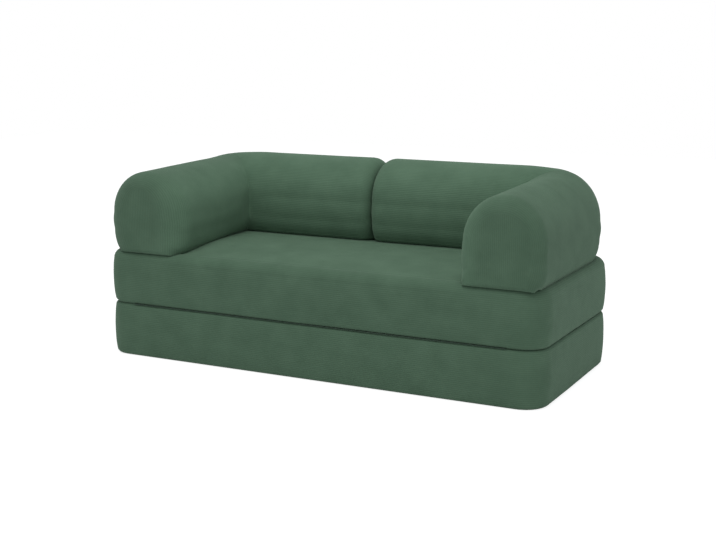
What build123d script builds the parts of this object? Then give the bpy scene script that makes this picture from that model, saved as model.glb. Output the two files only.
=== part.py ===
from build123d import *

import os
from math import cos, radians, sin, sqrt

# Modular sofa bed: two equal foam mattresses, one on the other and joined along their front
# edge by a cloth hinge, with two loose corner cushions that make the arms and the back.
# Frame: origin on the floor under the middle of the sofa, +X to the sitter's left, -Y the front.
# All sizes are millimetres.

# Overall sizes
sofa_width = 2000.0
sofa_depth = 900.0
mattress_height = 230.0
cushion_thickness = 350.0
cushion_height = 375.0

# Clearances
soft_gap = 0.3
mating_gap = 0.3

# Mattress shape: plan corners, rounded edges, barrel sides and the crown of the seat
plan_corner_radius = 110.0
floor_edge_radius = 20.0
mating_edge_radius = 18.0
sitting_edge_radius = 34.0
side_barrel = 6.0
flat_band_height = 34.0
seat_crown = 26.0
crown_flat_depth = 164.0
crown_corner_radius = 40.0
edge_turns = (0, 18, 36, 54, 72, 90)
barrel_share = 0.25
barrel_height_share = 0.45
crown_shares = (0.25, 0.55, 1.0)

# Corner cushion shape: D section, rounded front of the arm, rounded end at the middle; the crest
# of the arm lies lower than the back's and falls a little towards the front
arm_front_drop = 35.0
arm_rear_drop = 22.0
crest_rise_start = 30.0
cushion_toe_radius = 45.0
cushion_side_inset = 6.0
crest_turn_radius = 45.0
arm_outer_round = 75.0
arm_inner_round = 50.0
arm_top_round = 50.0
arm_foot_round = 24.0
back_end_round = 60.0
back_foot_round = 36.0
end_turns = (0, 18, 36, 54, 72, 90)

# Layers inside every cover
cover_wall = 3.0
wadding_wall = 12.0
comfort_layer = 40.0

# Hook and loop strips between the cushions and the seat
strip_thickness = 1.5
strip_width = 40.0
arm_strip_length = 380.0
back_strip_length = 480.0
strip_edge_margin = 150.0
strip_corner_gap = 90.0

# Cloth hinge along the front
hinge_strip_thickness = 1.0
hinge_strip_front = 8.0
hinge_end_margin = 150.0

# Zips
zip_tape_width = 22.0
zip_tape_thickness = 1.2
zip_coil_width = 5.0
zip_coil_height = 1.2
zip_stop_length = 6.0
mattress_zip_margin = 250.0
cushion_zip_length = 420.0
cushion_zip_height = 95.0
slider_length = 17.0
slider_width = 9.6
slider_thickness = 2.0
slider_corner = 2.4
bail_length = 10.0
bail_width = 3.0
bail_bar = 1.2
pull_bar_diameter = 1.4
pull_length = 36.0
pull_width = 8.4
pull_eye_length = 9.0
pull_arm_width = 1.6
pull_hole_diameter = 3.4

# Heights and places that follow from the sizes
base_bottom = 0.0
base_top = base_bottom + mattress_height
seat_bottom = base_top + mating_gap
seat_top = seat_bottom + mattress_height
cushion_bottom = seat_top + 2 * strip_thickness
cushion_top = seat_top + cushion_height
strip_stack = 2 * strip_thickness + 3 * soft_gap
half_thickness = cushion_thickness / 2
outer_x = -sofa_width / 2 + cushion_side_inset
rear_y = sofa_depth / 2 - cushion_side_inset
front_y = -sofa_depth / 2 + cushion_side_inset
middle_x = -soft_gap
pivot_x = outer_x + half_thickness + crest_turn_radius
pivot_y = rear_y - half_thickness - crest_turn_radius
rear_face_y = sofa_depth / 2
inner_x = outer_x + cushion_thickness
back_front_y = rear_y - cushion_thickness
crest_front = cushion_top - arm_front_drop
crest_rear = cushion_top - arm_rear_drop
crest_corner = (crest_rear + cushion_top) / 2
rise_y = back_front_y - crest_rise_start
rise_x = inner_x + crest_rise_start
crown_run = (sofa_depth - crown_flat_depth) / 2 - side_barrel - sitting_edge_radius
mattress_zip_length = sofa_width - 2 * mattress_zip_margin
wadding_skin = cover_wall + soft_gap
core_skin = wadding_skin + wadding_wall + soft_gap


def quarter_round(step, radius):
    """Inset of a quarter round of this radius, one step in from the face it starts on."""
    if step >= radius:
        return 0.0
    return radius - sqrt(radius**2 - (radius - step) ** 2)


# Mattress form: level rounded rectangles, lofted from the underside to the crown
def edge_levels(radius):
    """(rise, inset) over a rounded edge, from its panel out to the foot of the side."""
    levels = []
    for turn in edge_turns:
        levels.append((radius * (1 - cos(radians(turn))), radius * (1 - sin(radians(turn)))))
    return levels


def mattress_levels(bottom, edges, crown, skin):
    """(height, inset) of each level; skin is how far the form lies inside the cover."""
    low_edge, high_edge = [edge - skin for edge in edges]
    low = bottom + skin
    high = bottom + mattress_height - skin
    middle = (low + high) / 2
    band = flat_band_height / 2
    foot = skin + side_barrel
    barrel = skin + side_barrel * barrel_share
    low_step = (middle - band - low - low_edge) * barrel_height_share
    high_step = (high - high_edge - middle - band) * barrel_height_share
    levels = [(low + rise, foot + inset) for rise, inset in edge_levels(low_edge)]
    levels.append((low + low_edge + low_step, barrel))
    levels.append((middle - band, skin))
    levels.append((middle + band, skin))
    levels.append((high - high_edge - high_step, barrel))
    levels += [(high - rise, foot + inset) for rise, inset in reversed(edge_levels(high_edge))]
    if crown > 0:
        for share in crown_shares:
            levels.append((high + crown * (1 - (1 - share) ** 2), foot + high_edge + crown_run * share))
    return levels


def mattress_form(bottom, edges, crown, skin):
    with BuildPart() as form:
        for height, inset in mattress_levels(bottom, edges, crown, skin):
            corner = max(plan_corner_radius - inset, crown_corner_radius)
            with BuildSketch(Plane.XY.offset(height)):
                RectangleRounded(sofa_width - 2 * inset, sofa_depth - 2 * inset, corner)
        loft(ruled=True)
    return form.part


def base_form(skin):
    return mattress_form(base_bottom, (floor_edge_radius, mating_edge_radius), 0, skin)


def seat_form(skin):
    return mattress_form(seat_bottom, (mating_edge_radius, sitting_edge_radius), seat_crown, skin)


# Corner cushion form: a D section that runs along the arm, turns the corner and ends in the
# middle of the back. It is made for the side at -X and mirrored for the other.
def d_section(side_a, side_b, low, high):
    """D outline with a flat foot, toes drawn in, straight sides and a half round top."""
    toe = cushion_toe_radius
    half = (side_b - side_a) / 2
    middle = (side_a + side_b) / 2
    shoulder = high - half
    diagonal = cos(radians(45))
    toe_low = low + toe - toe * diagonal
    toe_in = toe - toe * diagonal
    with BuildLine() as outline:
        Line((side_a + toe, low), (side_b - toe, low))
        ThreePointArc((side_b - toe, low), (side_b - toe_in, toe_low), (side_b, low + toe))
        Line((side_b, low + toe), (side_b, shoulder))
        ThreePointArc(
            (side_b, shoulder),
            (middle + half * diagonal, shoulder + half * diagonal),
            (middle, high),
        )
        ThreePointArc(
            (middle, high),
            (middle - half * diagonal, shoulder + half * diagonal),
            (side_a, shoulder),
        )
        Line((side_a, shoulder), (side_a, low + toe))
        ThreePointArc((side_a, low + toe), (side_a + toe_in, toe_low), (side_a + toe, low))
    make_face(outline.edges())


def arm_plane(y):
    return Plane.XZ.offset(-y)


def arm_crest(y):
    """Height of the arm's crest, from its front to where it rises to the back."""
    share = (y - front_y) / (rise_y - front_y)
    return crest_front + (crest_rear - crest_front) * share


def cushion_form(skin):
    outer = outer_x + skin
    inner = inner_x - skin
    rear = rear_y - skin
    back_front = back_front_y + skin
    low = cushion_bottom + skin - strip_thickness
    front = front_y + skin
    end = middle_x - skin
    # Arm, from its rounded front to the corner
    with BuildPart() as form:
        for turn in end_turns:
            step = (arm_outer_round - skin) * (1 - cos(radians(turn)))
            with BuildSketch(arm_plane(front + step)):
                d_section(
                    outer + quarter_round(step, arm_outer_round - skin),
                    inner - quarter_round(step, arm_inner_round - skin),
                    low + quarter_round(step, arm_foot_round - skin),
                    arm_crest(front + step) - skin - quarter_round(step, arm_top_round - skin),
                )
        with BuildSketch(arm_plane(rise_y)):
            d_section(outer, inner, low, crest_rear - skin)
        with BuildSketch(arm_plane(pivot_y)):
            d_section(outer, inner, low, crest_corner - skin)
        loft(ruled=True)
        # Back, from the corner to its rounded end
        with BuildSketch(Plane.YZ.offset(pivot_x)):
            d_section(back_front, rear, low, crest_corner - skin)
        with BuildSketch(Plane.YZ.offset(rise_x)):
            d_section(back_front, rear, low, cushion_top - skin)
        for turn in reversed(end_turns):
            step = (back_end_round - skin) * (1 - cos(radians(turn)))
            with BuildSketch(Plane.YZ.offset(end - step)):
                d_section(
                    back_front + quarter_round(step, back_end_round - skin),
                    rear - quarter_round(step, back_end_round - skin),
                    low + quarter_round(step, back_foot_round - skin),
                    cushion_top - skin - quarter_round(step, back_end_round - skin),
                )
        loft(ruled=True)
        # Outer corner, the outer part of the section turned about the inside of the crest
        with BuildSketch(arm_plane(pivot_y)):
            d_section(outer, inner, low, crest_corner - skin)
            with Locations(((outer + pivot_x) / 2, (low + cushion_top) / 2)):
                Rectangle(pivot_x - outer, cushion_top - low, mode=Mode.INTERSECT)
        revolve(axis=Axis((pivot_x, pivot_y, 0), (0, 0, -1)), revolution_arc=90)
    return form.part


# Zips: a tape with its coil, let into a slot in the rear of the cover, a slider and its pull
def zip_slot(length, x, z):
    """Cutter for the slot that the tape lies in, through the cover's wall."""
    with BuildPart() as cutter:
        with BuildSketch(Plane.XZ.offset(-rear_face_y)):
            with Locations((x, z)):
                Rectangle(length + 2 * soft_gap, zip_tape_width + 2 * soft_gap)
        extrude(amount=cover_wall + cushion_side_inset + soft_gap)
    return cutter.part


def zip_tape(length, x, z, face_y):
    back = face_y - cover_wall
    with BuildPart() as tape:
        with BuildSketch(Plane.XZ.offset(-back)):
            with Locations((x, z)):
                Rectangle(length, zip_tape_width)
        extrude(amount=-zip_tape_thickness)
        with BuildSketch(Plane.XZ.offset(-back - zip_tape_thickness)):
            with Locations((x, z)):
                Rectangle(length - 2 * zip_stop_length, zip_coil_width)
        extrude(amount=-zip_coil_height)
        with BuildSketch(Plane.XZ.offset(-back - zip_tape_thickness)):
            stop_x = length / 2 - zip_stop_length
            for side in (-1, 1):
                with Locations((x + side * stop_x, z)):
                    Rectangle(zip_stop_length, zip_coil_width + 2 * zip_tape_thickness)
        extrude(amount=-zip_coil_height - zip_tape_thickness)
    return tape.part


def slider_under(face_y):
    return face_y - cover_wall + zip_tape_thickness + zip_coil_height + soft_gap


def pull_axis_y(face_y):
    return slider_under(face_y) + slider_thickness + soft_gap + pull_bar_diameter / 2


def zip_slider(x, z, face_y):
    """Slider plate over the coil, with the bail that holds the pull."""
    under = slider_under(face_y)
    bail_rise = pull_bar_diameter + 2 * soft_gap
    with BuildPart() as slider:
        with BuildSketch(Plane.XZ.offset(-under)):
            with Locations((x, z)):
                RectangleRounded(slider_length, slider_width, slider_corner)
        extrude(amount=-slider_thickness)
        with BuildSketch(Plane.XZ.offset(-under - slider_thickness)):
            with Locations((x, z)):
                Rectangle(bail_length, bail_width)
        extrude(amount=-bail_rise - bail_bar)
        with BuildSketch(Plane.XZ.offset(-under - slider_thickness)):
            with Locations((x, z)):
                Rectangle(bail_length - 2 * bail_bar, bail_width)
        extrude(amount=-bail_rise, mode=Mode.SUBTRACT)
    return slider.part


def zip_pull(x, z, face_y):
    """Flat pull whose end bar turns under the bail; it lies along the zip."""
    axis_y = pull_axis_y(face_y)
    half_bar = pull_bar_diameter / 2
    with BuildPart() as pull:
        with BuildSketch(Plane.XY.offset(z - pull_width / 2)):
            with Locations((x, axis_y)):
                Circle(half_bar)
        extrude(amount=pull_width)
        with BuildSketch(Plane.XZ.offset(-axis_y - half_bar)):
            with Locations((x + pull_length / 2, z)):
                Rectangle(pull_length, pull_width)
            with Locations((x + pull_eye_length / 2, z)):
                Rectangle(pull_eye_length, pull_width - 2 * pull_arm_width, mode=Mode.SUBTRACT)
            with Locations((x + pull_length - pull_width / 2, z)):
                Circle(pull_hole_diameter / 2, mode=Mode.SUBTRACT)
        extrude(amount=pull_bar_diameter)
    return pull.part


def export_node(part, name):
    part.label = name
    export_step(part, f"parts/{name}.step")


os.makedirs("parts", exist_ok=True)

# Base mattress, which lies on the floor
base_zip_z = base_bottom + mattress_height / 2
slider_start_x = -mattress_zip_length / 2 + zip_stop_length + slider_length
base_skin = base_form(0)
base_inside = base_form(cover_wall)
base_slot = zip_slot(mattress_zip_length, 0, base_zip_z)

with BuildPart() as base_cover:
    add(base_skin)
    add(base_inside, mode=Mode.SUBTRACT)
    add(base_slot, mode=Mode.SUBTRACT)
export_node(base_cover.part, "base_cover")

wadding_outside = base_form(wadding_skin)
wadding_inside = base_form(wadding_skin + wadding_wall)
with BuildPart() as base_wadding:
    add(wadding_outside)
    add(wadding_inside, mode=Mode.SUBTRACT)
export_node(base_wadding.part, "base_wadding")

base_foam = base_form(core_skin)
base_comfort_plane = Plane.XY.offset(base_top - core_skin - comfort_layer)
with BuildPart() as base_foam_core:
    add(base_foam)
    split(bisect_by=base_comfort_plane, keep=Keep.BOTTOM)
export_node(base_foam_core.part, "base_foam_core")
with BuildPart() as base_sleeping_foam:
    add(base_foam)
    split(bisect_by=base_comfort_plane, keep=Keep.TOP)
export_node(base_sleeping_foam.part, "base_sleeping_foam")

export_node(zip_tape(mattress_zip_length, 0, base_zip_z, rear_face_y), "base_zip")
export_node(zip_slider(slider_start_x, base_zip_z, rear_face_y), "base_zip_slider")
export_node(zip_pull(slider_start_x, base_zip_z, rear_face_y), "base_zip_pull")

# Seat mattress, which lies on the base
seat_zip_z = seat_bottom + mattress_height / 2
seat_skin = seat_form(0)
seat_inside = seat_form(cover_wall)
seat_slot = zip_slot(mattress_zip_length, 0, seat_zip_z)

with BuildPart() as seat_cover:
    add(seat_skin)
    add(seat_inside, mode=Mode.SUBTRACT)
    add(seat_slot, mode=Mode.SUBTRACT)
export_node(seat_cover.part, "seat_cover")

seat_wadding_outside = seat_form(wadding_skin)
seat_wadding_inside = seat_form(wadding_skin + wadding_wall)
with BuildPart() as seat_wadding:
    add(seat_wadding_outside)
    add(seat_wadding_inside, mode=Mode.SUBTRACT)
export_node(seat_wadding.part, "seat_wadding")

seat_foam = seat_form(core_skin)
sleeping_plane = Plane.XY.offset(seat_bottom + core_skin + comfort_layer)
sitting_plane = Plane.XY.offset(seat_top - core_skin - comfort_layer)
with BuildPart() as seat_sleeping_foam:
    add(seat_foam)
    split(bisect_by=sleeping_plane, keep=Keep.BOTTOM)
export_node(seat_sleeping_foam.part, "seat_sleeping_foam")
with BuildPart() as seat_foam_core:
    add(seat_foam)
    split(bisect_by=sleeping_plane, keep=Keep.TOP)
    split(bisect_by=sitting_plane, keep=Keep.BOTTOM)
export_node(seat_foam_core.part, "seat_foam_core")
with BuildPart() as seat_sitting_foam:
    add(seat_foam)
    split(bisect_by=sitting_plane, keep=Keep.TOP)
export_node(seat_sitting_foam.part, "seat_sitting_foam")

export_node(zip_tape(mattress_zip_length, 0, seat_zip_z, rear_face_y), "seat_zip")
export_node(zip_slider(slider_start_x, seat_zip_z, rear_face_y), "seat_zip_slider")
export_node(zip_pull(slider_start_x, seat_zip_z, rear_face_y), "seat_zip_pull")

# Cloth hinge, sewn to both covers in the groove along the front; each half is its own strip
def edge_reach(drop):
    """How far out from its panel a mating edge has dropped this much."""
    levels = edge_levels(mating_edge_radius)
    for (rise, inset), (next_rise, next_inset) in zip(levels, levels[1:]):
        if next_rise >= drop:
            share = (drop - rise) / (next_rise - rise)
            return mating_edge_radius - inset - (next_inset - inset) * share


strip_reach = edge_reach(hinge_strip_thickness + soft_gap)
strip_run = side_barrel + mating_edge_radius - strip_reach - hinge_strip_front
strip_y = -sofa_depth / 2 + hinge_strip_front + strip_run / 2
strip_length = sofa_width - 2 * hinge_end_margin
with BuildPart() as base_hinge_strip:
    with BuildSketch(Plane.XY.offset(base_top)):
        with Locations((0, strip_y)):
            Rectangle(strip_length, strip_run)
    extrude(amount=-hinge_strip_thickness)
export_node(base_hinge_strip.part, "base_hinge_strip")
with BuildPart() as seat_hinge_strip:
    with BuildSketch(Plane.XY.offset(seat_bottom)):
        with Locations((0, strip_y)):
            Rectangle(strip_length, strip_run)
    extrude(amount=hinge_strip_thickness)
export_node(seat_hinge_strip.part, "seat_hinge_strip")

# Hook and loop strips: the loop strips are sewn on the seat, the hook strips under the cushions
arm_strip_x = outer_x + half_thickness
arm_strip_y = front_y + strip_edge_margin + arm_strip_length / 2
back_strip_x = pivot_x + strip_corner_gap + back_strip_length / 2
back_strip_y = rear_y - half_thickness


def strips_between(lower, upper, sides):
    """Strips cut from the layer between two heights over the crowned seat."""
    top = seat_form(-upper)
    under = seat_form(-lower)
    with BuildPart() as strips:
        with BuildSketch(Plane.XY.offset(seat_top - sitting_edge_radius)):
            for side in sides:
                with Locations((side * arm_strip_x, arm_strip_y)):
                    Rectangle(strip_width, arm_strip_length)
                with Locations((side * back_strip_x, back_strip_y)):
                    Rectangle(back_strip_length, strip_width)
        extrude(amount=sitting_edge_radius + seat_crown + upper)
        add(top, mode=Mode.INTERSECT)
        add(under, mode=Mode.SUBTRACT)
    return strips.part


loop_low = soft_gap
loop_high = loop_low + strip_thickness
hook_low = loop_high + soft_gap
hook_high = hook_low + strip_thickness
export_node(strips_between(loop_low, loop_high, (1, -1)), "seat_loop_strips")

# Corner cushions: cover, wadding and the two foam blocks, mitred at the corner. The seat's
# crown is taken from every layer, so that the cushion sits on it.
cushion_zip_x = (pivot_x + middle_x - back_end_round) / 2
cushion_zip_z = cushion_bottom + cushion_zip_height
cushion_slider_x = cushion_zip_x - cushion_zip_length / 2 + zip_stop_length + slider_length
mitre = Plane(origin=(pivot_x, pivot_y, 0), z_dir=(1, 1, 0))


def cushion_layer(outside, inside):
    """Shell between two depths in the cushion; inside of 0 leaves it solid."""
    shell = cushion_form(outside)
    seat_cut = seat_form(-strip_stack - outside)
    hollow = cushion_form(inside) if inside else None
    hollow_cut = seat_form(-strip_stack - inside)
    with BuildPart() as layer:
        add(shell)
        add(seat_cut, mode=Mode.SUBTRACT)
    if hollow is None:
        return layer.part
    with BuildPart() as core:
        add(hollow)
        add(hollow_cut, mode=Mode.SUBTRACT)
    with BuildPart() as skin:
        add(layer.part)
        add(core.part, mode=Mode.SUBTRACT)
    return skin.part


cover_shell = cushion_layer(0, cover_wall)
cushion_slot = zip_slot(cushion_zip_length, cushion_zip_x, cushion_zip_z)
with BuildPart() as cushion_cover:
    add(cover_shell)
    add(cushion_slot, mode=Mode.SUBTRACT)
cushion_wadding = cushion_layer(wadding_skin, wadding_skin + wadding_wall)
cushion_foam = cushion_layer(core_skin, 0)
with BuildPart() as arm_foam:
    add(cushion_foam)
    split(bisect_by=mitre, keep=Keep.BOTTOM)
with BuildPart() as back_foam:
    add(cushion_foam)
    split(bisect_by=mitre, keep=Keep.TOP)

cushion_nodes = {
    "cushion_cover": cushion_cover.part,
    "cushion_wadding": cushion_wadding,
    "arm_foam": arm_foam.part,
    "back_foam": back_foam.part,
    "cushion_zip": zip_tape(cushion_zip_length, cushion_zip_x, cushion_zip_z, rear_y),
    "cushion_zip_slider": zip_slider(cushion_slider_x, cushion_zip_z, rear_y),
    "cushion_zip_pull": zip_pull(cushion_slider_x, cushion_zip_z, rear_y),
    "hook_strips": strips_between(hook_low, hook_high, (1,)),
}
for name, part in cushion_nodes.items():
    export_node(part, f"right_{name}")
    export_node(mirror(part, about=Plane.YZ), f"left_{name}")

print("hinge axis y", round(-sofa_depth / 2 - mating_gap / 2, 2))
print("hinge axis z", round(base_top + mating_gap / 2, 2))
print("pull axis y", round(pull_axis_y(rear_face_y), 2), round(pull_axis_y(rear_y), 2))
print("slider starts", round(slider_start_x, 2), round(cushion_slider_x, 2))
print("zip heights", base_zip_z, seat_zip_z, cushion_zip_z)
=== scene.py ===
from math import acos, cos, exp, hypot, pi, radians, sin, sqrt

import bpy
import numpy as np
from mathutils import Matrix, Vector, noise


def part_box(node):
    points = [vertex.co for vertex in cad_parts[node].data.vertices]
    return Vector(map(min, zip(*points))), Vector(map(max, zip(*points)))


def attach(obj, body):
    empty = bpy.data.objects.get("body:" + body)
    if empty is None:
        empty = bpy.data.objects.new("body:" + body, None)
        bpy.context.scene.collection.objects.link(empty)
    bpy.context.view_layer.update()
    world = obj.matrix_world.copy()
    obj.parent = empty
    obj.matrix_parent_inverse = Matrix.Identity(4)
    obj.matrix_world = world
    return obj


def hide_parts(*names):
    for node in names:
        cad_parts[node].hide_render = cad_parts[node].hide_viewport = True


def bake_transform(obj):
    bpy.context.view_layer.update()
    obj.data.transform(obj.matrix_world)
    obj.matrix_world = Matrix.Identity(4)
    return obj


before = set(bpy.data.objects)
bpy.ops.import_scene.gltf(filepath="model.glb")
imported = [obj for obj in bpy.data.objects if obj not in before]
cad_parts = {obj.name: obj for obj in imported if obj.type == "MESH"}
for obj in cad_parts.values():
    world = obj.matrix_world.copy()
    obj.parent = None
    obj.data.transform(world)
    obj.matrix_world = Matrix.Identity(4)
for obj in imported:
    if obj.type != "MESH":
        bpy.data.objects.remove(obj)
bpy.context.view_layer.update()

# Studio: a flat sheet of white paper under the sofa and a white sky behind it, a large soft lamp over it and
# a weak one beside it, and a camera three-quarter from the sitter's left and a little above.
scene = bpy.context.scene
scene.view_settings.view_transform = "Standard"

camera_azimuth = radians(27.14)
camera_height = radians(10.91)
camera_distance = 5.382
camera_target = Vector((0.0098, 0.0, 0.3798))
photo_width = 716
focal_pixels = 1253

camera_back = Vector((
    sin(camera_azimuth) * cos(camera_height),
    -cos(camera_azimuth) * cos(camera_height),
    sin(camera_height),
))


def new_object(name, data):
    made = bpy.data.objects.new(name, data)
    scene.collection.objects.link(made)
    return made


camera_data = bpy.data.cameras.new("camera")
camera_data.sensor_width = 36.0
camera_data.lens = focal_pixels / photo_width * camera_data.sensor_width
camera = new_object("camera", camera_data)
camera.location = camera_target + camera_back * camera_distance
camera.rotation_euler = camera_back.to_track_quat("Z", "Y").to_euler()
scene.camera = camera


def node(tree, kind, inputs=None, **fields):
    """Adds a node; each input takes a value or, given another node's output, a link from it."""
    made = tree.nodes.new(kind)
    for field, value in fields.items():
        setattr(made, field, value)
    for socket, value in (inputs or {}).items():
        if isinstance(value, bpy.types.NodeSocket):
            tree.links.new(value, made.inputs[socket])
        else:
            made.inputs[socket].default_value = value
    return made


def product(tree, first, second):
    return node(tree, "ShaderNodeMath", {0: first, 1: second}, operation="MULTIPLY").outputs[0]


def white_where_seen(tree, shade, share, strength):
    """Mixes this share of plain white into what the camera, metal and glass see of a shader."""
    rays = node(tree, "ShaderNodeLightPath").outputs
    seen = rays["Is Camera Ray"]
    for kind in ("Is Glossy Ray", "Is Transmission Ray"):
        seen = node(tree, "ShaderNodeMath", {0: seen, 1: rays[kind]}, operation="MAXIMUM").outputs[0]
    white = node(tree, "ShaderNodeEmission", {"Color": (1, 1, 1, 1), "Strength": strength})
    mix_inputs = {0: product(tree, seen, share), 1: shade, 2: white.outputs[0]}
    return node(tree, "ShaderNodeMixShader", mix_inputs).outputs[0]


sky = bpy.data.worlds.new("studio")
scene.world = sky
sky.use_nodes = True
sky_tree = sky.node_tree
sky_glow = sky_tree.nodes["Background"]
sky_glow.inputs["Color"].default_value = (0.96, 0.98, 1.0, 1)
sky_glow.inputs["Strength"].default_value = 0.56
sky_seen = white_where_seen(sky_tree, sky_glow.outputs[0], 1.0, 1.0)
sky_tree.links.new(sky_seen, sky_tree.nodes["World Output"].inputs[0])


def new_material(name, inputs):
    """A new material, its node tree and its main shader with these inputs."""
    material = bpy.data.materials.new(name)
    material.use_nodes = True
    shader = material.node_tree.nodes["Principled BSDF"]
    for socket, value in inputs.items():
        shader.inputs[socket].default_value = value
    return material, material.node_tree, shader


floor_reach = 9.0
floor_mesh = bpy.data.meshes.new("floor")
floor_sides = ((-1, -1), (1, -1), (1, 1), (-1, 1))
floor_corners = [(x * floor_reach, y * floor_reach, 0) for x, y in floor_sides]
floor_mesh.from_pydata(floor_corners, [], [(0, 1, 2, 3)])
floor_look = {"Base Color": (0.88, 0.88, 0.88, 1), "Roughness": 0.9}
floor_paper, floor_tree, floor_shader = new_material("floor_paper", floor_look)
floor_seen = white_where_seen(floor_tree, floor_shader.outputs[0], 0.6, 1.4)
floor_tree.links.new(floor_seen, floor_tree.nodes["Material Output"].inputs[0])
floor_mesh.materials.append(floor_paper)
floor = new_object("floor", floor_mesh)


def soft_lamp(name, place, size, watts):
    """A round soft lamp that points at the middle of the sofa."""
    data = bpy.data.lights.new(name, "AREA")
    data.shape = "DISK"
    data.size = size
    data.energy = watts
    lamp = new_object(name, data)
    lamp.location = place
    lamp.rotation_euler = (Vector(place) - Vector(sofa_middle)).to_track_quat("Z", "Y").to_euler()


sofa_middle = (0, 0, 0.4)
soft_lamp("overhead_lamp", (0.2, -2.0, 7.4), 5.6, 262)
soft_lamp("right_lamp", (3.6, -1.4, 1.8), 2.0, 3)

# Base mattress: a firm foam block in a sewn corduroy cover that lies on the floor. The border
# band runs round it with its wales level, and the top and bottom panels are sewn to the band.
sofa_width = 2.0
sofa_depth = 0.9
mattress_height = 0.23
plan_radii = (0.13, 0.13, 0.10, 0.11)
floor_edge_radius = 0.020
mating_edge_radius = 0.018
side_barrel = 0.006
seam_lap = 0.006
seam_depth = 0.0010
seam_calm = 0.6
# Painted light and shade: the border band's colour is painted a little darker and the top and bottom panels'
# a little lighter.
band_painted_shade = 0.965
panel_painted_light = 1.02
crown_run = 0.33
crown_ease = 0.05
wale_pitch = 0.0078
wale_height = 0.0005
wale_mean = 0.62
wale_section = (0.0, 0.78, 1.0, 0.78)
least_cut = 0.0002
cut_roundness = 0.75
near_cut = 0.26
hair = 1e-6
panel_shares = (0.018, 0.06, 0.13, 0.22, 0.33, 0.45, 0.58, 0.72, 0.86, 1.0)
corner_turns = 9
edge_turns = 9
band_levels = 12
fullness = 0.7
base_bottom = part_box("base_cover")[0].z
seat_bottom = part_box("seat_cover")[0].z
mattress_zip_half = 0.75
zip_lip_half = 0.0060
zip_lip_run = 0.0032
zip_recess = 0.0040
zip_seam_offset = 0.0115
zip_seam_sink = 0.0007
zip_seam_spread = 0.0016
zip_end_run = 0.004
zip_surround = 0.035
zip_reach = 0.03
rear_facing = 0.5
seam_flattening = 0.8
swell_waves = 3.2
dimple_waves = 17.0
level_lean = 0.9
rear_lean = 0.6
least_radius = 0.02


class Form:
    """A sewn form: coarse quads in panels, each with a number that its wales follow."""

    def __init__(self):
        self.points = []
        self.faces = []
        self.panels = []
        self.wales = {}
        self.calm = []
        # Each point's share of colour: painted light and shade
        self.painted_lights = []

    def add(self, point, calm=0.0, painted_light=1.0):
        self.points.append(tuple(point))
        self.calm.append(calm)
        self.painted_lights.append(painted_light)
        return len(self.points) - 1

    def face(self, corners, panel):
        loop = []
        for corner in corners:
            if corner not in loop:
                loop.append(corner)
        if len(loop) > 2:
            self.faces.append(tuple(loop))
            self.panels.append(panel)

    def wale(self, panel, index, value):
        self.wales.setdefault(panel, {})[index] = value


def corner_normals(points, faces):
    normals = np.zeros_like(points)
    for face in faces:
        ring = points[list(face)]
        ahead = np.roll(ring, -1, axis=0)
        area = np.cross(ring - ring.mean(0), ahead - ring.mean(0)).sum(0)
        normals[list(face)] += area
    length = np.linalg.norm(normals, axis=1)
    return normals / np.maximum(length, 1e-12)[:, None]


def wale_top(steps):
    """Height of the pile, as a share of a wale's, this many cuts along."""
    low = int(np.floor(steps))
    share = steps - low
    here, ahead = wale_section[low % len(wale_section)], wale_section[(low + 1) % len(wale_section)]
    return here * (1 - share) + ahead * share


def snapped(steps):
    """Moves a point that lies close to a cut onto it, so that no sliver is left between them."""
    nearest = round(steps)
    return float(nearest) if abs(steps - nearest) < near_cut else steps


def sink_seams(form):
    """Pulls every seam in, towards the foam."""
    points = np.array(form.points)
    normals = corner_normals(points, form.faces)
    depths = np.array(form.calm) * seam_depth
    form.points = [tuple(row) for row in points - normals * depths[:, None]]


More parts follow.
